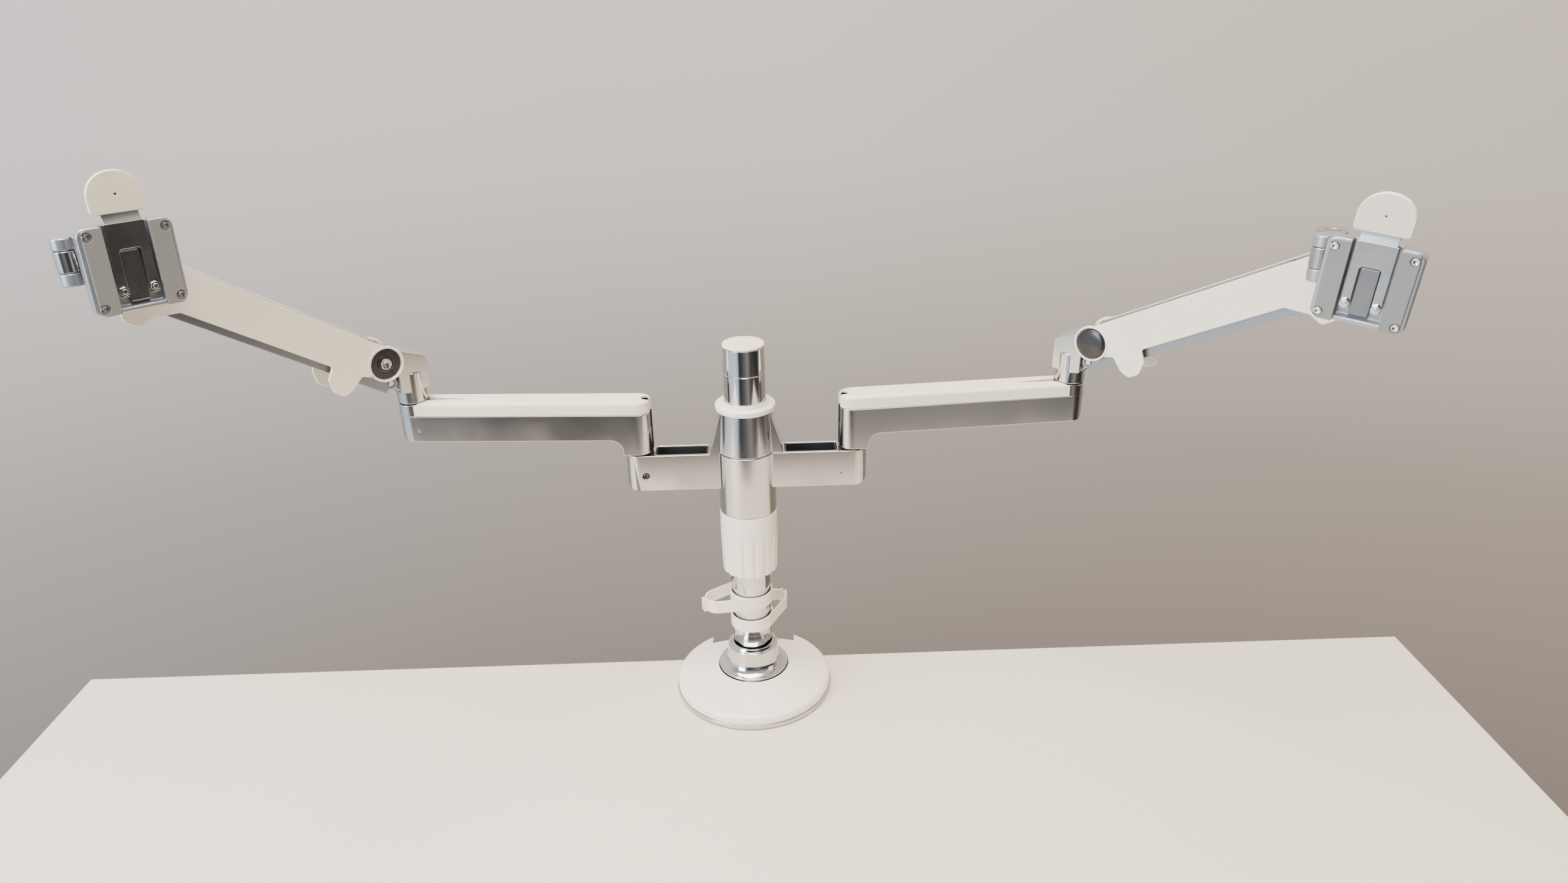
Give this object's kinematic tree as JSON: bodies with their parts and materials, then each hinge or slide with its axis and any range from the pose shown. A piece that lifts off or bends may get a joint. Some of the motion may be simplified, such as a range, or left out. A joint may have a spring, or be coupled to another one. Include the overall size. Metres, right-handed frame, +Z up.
{
  "type": "dual monitor arm",
  "caption": "Desk-clamped post with a height-locked hub carrying jointed spring arms to left and right, each ending in a tilting, turning screen head with a quick-release plate.",
  "frame": {"origin": "on the post's axis, at the desk's surface (underside of the base plate)", "axes": "+X to the right seen by the person at the desk, +Y away from that person, +Z up along the post"},
  "size_m": [0.9441, 0.299, 0.6901],
  "materials": {
    "polished": "hand-polished cast aluminium",
    "chrome": "bright polished metal",
    "satin": "satin silver-grey",
    "steel": "bright plated steel",
    "dark": "dark coated steel",
    "ivory": "smooth off-white moulding",
    "gloss": "glossy off-white moulding",
    "black": "smooth black moulding",
    "grey_strip": "fine-textured grey strip"
  },
  "bodies": {
    "base": {"base_plate": "polished", "base_cover": "gloss", "base_flange": "chrome", "post_tube": "chrome", "post_cap": "ivory", "clamp_bracket": "dark"},
    "clamp_foot": {"clamp_pad": "black"},
    "clamp_spindle": {"clamp_screw": "dark"},
    "clip_upper": {"cable_clip_upper": "gloss"},
    "clip_lower": {"cable_clip_lower": "gloss"},
    "carriage": {"collet_sleeve": "dark"},
    "lock_collar": {"height_collar": "gloss"},
    "hub_left": {"hub_upper": "polished", "hub_set_screw": "dark", "hub_flange_ring": "gloss", "hub_liner_left": "black", "link_pin_inner_left": "black"},
    "hub_right": {"hub_lower": "polished", "hub_liner_right": "black", "link_pin_inner_right": "black"},
    "link_left": {"link_arm_left": "polished", "link_cover_left": "ivory", "link_pin_outer_left": "black"},
    "elbow_left": {"elbow_left": "polished"},
    "arm_left": {"arm_beam_left": "satin", "arm_cover_front_left": "ivory", "arm_cover_back_left": "ivory", "arm_axle_left": "steel", "pivot_disc_left": "black", "gas_strut_left": "dark"},
    "lower_link_left": {"arm_lower_link_left": "satin"},
    "yoke_left": {"end_yoke_left": "steel"},
    "swing_left": {"swing_link_left": "polished"},
    "bracket_left": {"hinge_bracket_left": "satin"},
    "tilter_left": {"tilt_block_left": "steel"},
    "head_left": {"head_housing_left": "satin", "head_strip_outer_left": "grey_strip", "head_strip_inner_left": "grey_strip"},
    "latch_left": {"slide_plate_left": "steel", "release_tab_left": "ivory"},
    "link_right": {"link_arm_right": "polished", "link_cover_right": "ivory", "link_pin_outer_right": "black"},
    "elbow_right": {"elbow_right": "polished"},
    "arm_right": {"arm_beam_right": "satin", "arm_cover_front_right": "ivory", "arm_cover_back_right": "ivory", "arm_axle_right": "steel", "pivot_disc_right": "black", "gas_strut_right": "dark"},
    "lower_link_right": {"arm_lower_link_right": "satin"},
    "yoke_right": {"end_yoke_right": "steel"},
    "swing_right": {"swing_link_right": "polished"},
    "bracket_right": {"hinge_bracket_right": "satin"},
    "tilter_right": {"tilt_block_right": "steel"},
    "head_right": {"head_housing_right": "satin", "head_strip_outer_right": "grey_strip", "head_strip_inner_right": "grey_strip"},
    "latch_right": {"slide_plate_right": "steel", "release_tab_right": "ivory"}
  },
  "joints": [
    {"name": "clamp_slide", "type": "slide", "parent": "base", "child": "clamp_foot", "axis": [0, 0, 1], "range_m": [-0.03, 0]},
    {"name": "clamp_turn", "type": "hinge", "parent": "clamp_foot", "child": "clamp_spindle", "pos_m": [0, 0.008, -0.1], "axis": [0, 0, 1], "range_deg": [-3600, 0]},
    {"name": "clip_upper_turn", "type": "hinge", "parent": "base", "child": "clip_upper", "pos_m": [0, 0, 0.106], "axis": [0, 0, 1], "continuous": true},
    {"name": "clip_lower_turn", "type": "hinge", "parent": "base", "child": "clip_lower", "pos_m": [0, 0, 0.08], "axis": [0, 0, 1], "continuous": true},
    {"name": "height_slide", "type": "slide", "parent": "base", "child": "carriage", "axis": [0, 0, 1], "range_m": [-0.02, 0.045]},
    {"name": "lock_collar_turn", "type": "hinge", "parent": "carriage", "child": "lock_collar", "pos_m": [0, 0, 0.17], "axis": [0, 0, 1], "range_deg": [-45, 45]},
    {"name": "hub_left_swing", "type": "hinge", "parent": "carriage", "child": "hub_left", "pos_m": [0, 0, 0.285], "axis": [0, 0, 1], "range_deg": [-35, 35]},
    {"name": "hub_right_swing", "type": "hinge", "parent": "carriage", "child": "hub_right", "pos_m": [0, 0, 0.233], "axis": [0, 0, 1], "range_deg": [-35, 35]},
    {"name": "link_swing_left", "type": "hinge", "parent": "hub_left", "child": "link_left", "pos_m": [-0.0986, 0, 0.272], "axis": [0, 0, 1], "range_deg": [-60, 60]},
    {"name": "elbow_swing_left", "type": "hinge", "parent": "link_left", "child": "elbow_left", "pos_m": [-0.30256, 0.01176, 0.322], "axis": [0, 0, 1], "range_deg": [-100, 60]},
    {"name": "arm_lift_left", "type": "hinge", "parent": "elbow_left", "child": "arm_left", "pos_m": [-0.32193, -0.00618, 0.3625], "axis": [-0.6794, 0.7337, 0], "range_deg": [-54.8, 7.2]},
    {"name": "lower_link_pivot_left", "type": "hinge", "parent": "elbow_left", "child": "lower_link_left", "pos_m": [-0.319, -0.00346, 0.342], "axis": [-0.6794, 0.7337, 0], "range_deg": [-54.8, 7.2]},
    {"name": "yoke_level_left", "type": "hinge", "parent": "arm_left", "child": "yoke_left", "pos_m": [-0.44195, -0.11732, 0.47619], "axis": [-0.6794, 0.7337, 0], "range_deg": [-7.2, 54.8]},
    {"name": "swing_turn_left", "type": "hinge", "parent": "yoke_left", "child": "swing_left", "pos_m": [-0.44195, -0.11732, 0.49819], "axis": [0, 0, 1], "range_deg": [-60, 30]},
    {"name": "head_pan_left", "type": "hinge", "parent": "swing_left", "child": "bracket_left", "pos_m": [-0.45622, -0.17456, 0.49819], "axis": [0, 0, 1], "range_deg": [-80, 0]},
    {"name": "head_tilt_left", "type": "hinge", "parent": "bracket_left", "child": "tilter_left", "pos_m": [-0.43147, -0.15036, 0.49034], "axis": [0.6903, 0.7236, 0], "range_deg": [-8, 15]},
    {"name": "head_turn_left", "type": "hinge", "parent": "tilter_left", "child": "head_left", "pos_m": [-0.43147, -0.15036, 0.49034], "axis": [-0.7234, 0.6901, 0.0183], "range_deg": [-90, 90]},
    {"name": "latch_slide_left", "type": "slide", "parent": "head_left", "child": "latch_left", "axis": [0.021, -0.0046, 0.9998], "range_m": [0, 0.005]},
    {"name": "link_swing_right", "type": "hinge", "parent": "hub_right", "child": "link_right", "pos_m": [0.0986, 0, 0.272], "axis": [0, 0, 1], "range_deg": [-60, 60]},
    {"name": "elbow_swing_right", "type": "hinge", "parent": "link_right", "child": "elbow_right", "pos_m": [0.30215, 0.01745, 0.322], "axis": [0, 0, 1], "range_deg": [-60, 100]},
    {"name": "arm_lift_right", "type": "hinge", "parent": "elbow_right", "child": "arm_right", "pos_m": [0.32092, -0.00112, 0.3625], "axis": [-0.7034, -0.7108, 0], "range_deg": [-48.4, 13.6]},
    {"name": "lower_link_pivot_right", "type": "hinge", "parent": "elbow_right", "child": "lower_link_right", "pos_m": [0.31808, 0.00169, 0.342], "axis": [-0.7034, -0.7108, 0], "range_deg": [-48.4, 13.6]},
    {"name": "yoke_level_right", "type": "hinge", "parent": "arm_right", "child": "yoke_right", "pos_m": [0.44547, -0.12437, 0.45724], "axis": [-0.7034, -0.7108, 0], "range_deg": [-13.6, 48.4]},
    {"name": "swing_turn_right", "type": "hinge", "parent": "yoke_right", "child": "swing_right", "pos_m": [0.44547, -0.12437, 0.47924], "axis": [0, 0, 1], "range_deg": [-6, 90]},
    {"name": "head_pan_right", "type": "hinge", "parent": "swing_right", "child": "bracket_right", "pos_m": [0.4129, -0.17357, 0.47924], "axis": [0, 0, 1], "range_deg": [-60, 60]},
    {"name": "head_tilt_right", "type": "hinge", "parent": "bracket_right", "child": "tilter_right", "pos_m": [0.43918, -0.19611, 0.47139], "axis": [0.7812, -0.6243, 0], "range_deg": [-18, 4.5]},
    {"name": "head_turn_right", "type": "hinge", "parent": "tilter_right", "child": "head_right", "pos_m": [0.43918, -0.19611, 0.47139], "axis": [0.6123, 0.7661, 0.1954], "range_deg": [-90, 90]},
    {"name": "latch_slide_right", "type": "slide", "parent": "head_right", "child": "latch_right", "axis": [-0.0517, -0.2079, 0.9768], "range_m": [0, 0.005]}
  ],
  "couplings": [
    {"joint": "lower_link_pivot_left", "follows": "arm_lift_left", "ratio": 1},
    {"joint": "yoke_level_left", "follows": "arm_lift_left", "ratio": -1},
    {"joint": "lower_link_pivot_right", "follows": "arm_lift_right", "ratio": 1},
    {"joint": "yoke_level_right", "follows": "arm_lift_right", "ratio": -1}
  ]
}
